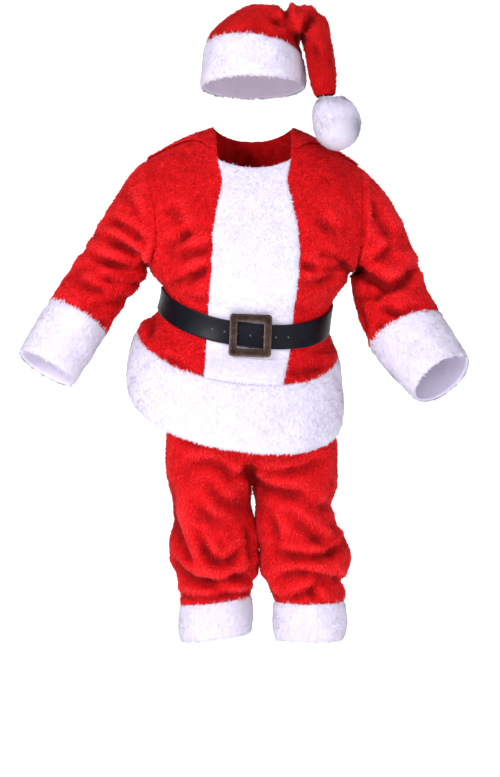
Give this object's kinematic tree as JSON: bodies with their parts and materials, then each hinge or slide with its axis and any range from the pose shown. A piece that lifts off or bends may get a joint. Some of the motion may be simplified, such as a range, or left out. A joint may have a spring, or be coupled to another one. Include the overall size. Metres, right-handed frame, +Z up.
{
  "type": "santa suit",
  "caption": "Red plush jacket, trousers and folded-over hat with deep white plush trim and a black buckled belt, worn and hollow.",
  "frame": {"origin": "centre of the neck, level with the base of the collar, where the wearer's shoulders carry the jacket", "axes": "+Z up, the front of the suit faces -Y, +X to the wearer's left"},
  "size_m": [1.0596, 0.416, 1.5166],
  "materials": {
    "red_plush": "short napped plush, deep warm red, lighter where the nap catches the light",
    "white_plush": "deep white plush pile, soft and slightly cool in the shade",
    "belt_vinyl": "semi-gloss black vinyl with a fine grain",
    "antique_brass": "dark antique bronze, satin, with lighter worn edges"
  },
  "bodies": {
    "root": {"jacket_front_right": "red_plush", "jacket_front_left": "red_plush", "jacket_back": "red_plush", "sleeve_right": "red_plush", "sleeve_left": "red_plush", "collar": "red_plush", "front_strip": "white_plush", "hem_band_front": "white_plush", "hem_band_back": "white_plush", "cuff_right": "white_plush", "cuff_left": "white_plush", "trouser_leg_right": "red_plush", "trouser_leg_left": "red_plush", "waistband": "red_plush", "trouser_cuff_right": "white_plush", "trouser_cuff_left": "white_plush", "hat_band": "white_plush", "hat_crown": "red_plush", "pompom": "white_plush", "belt_strap": "belt_vinyl", "belt_buckle": "antique_brass"}
  },
  "joints": []
}
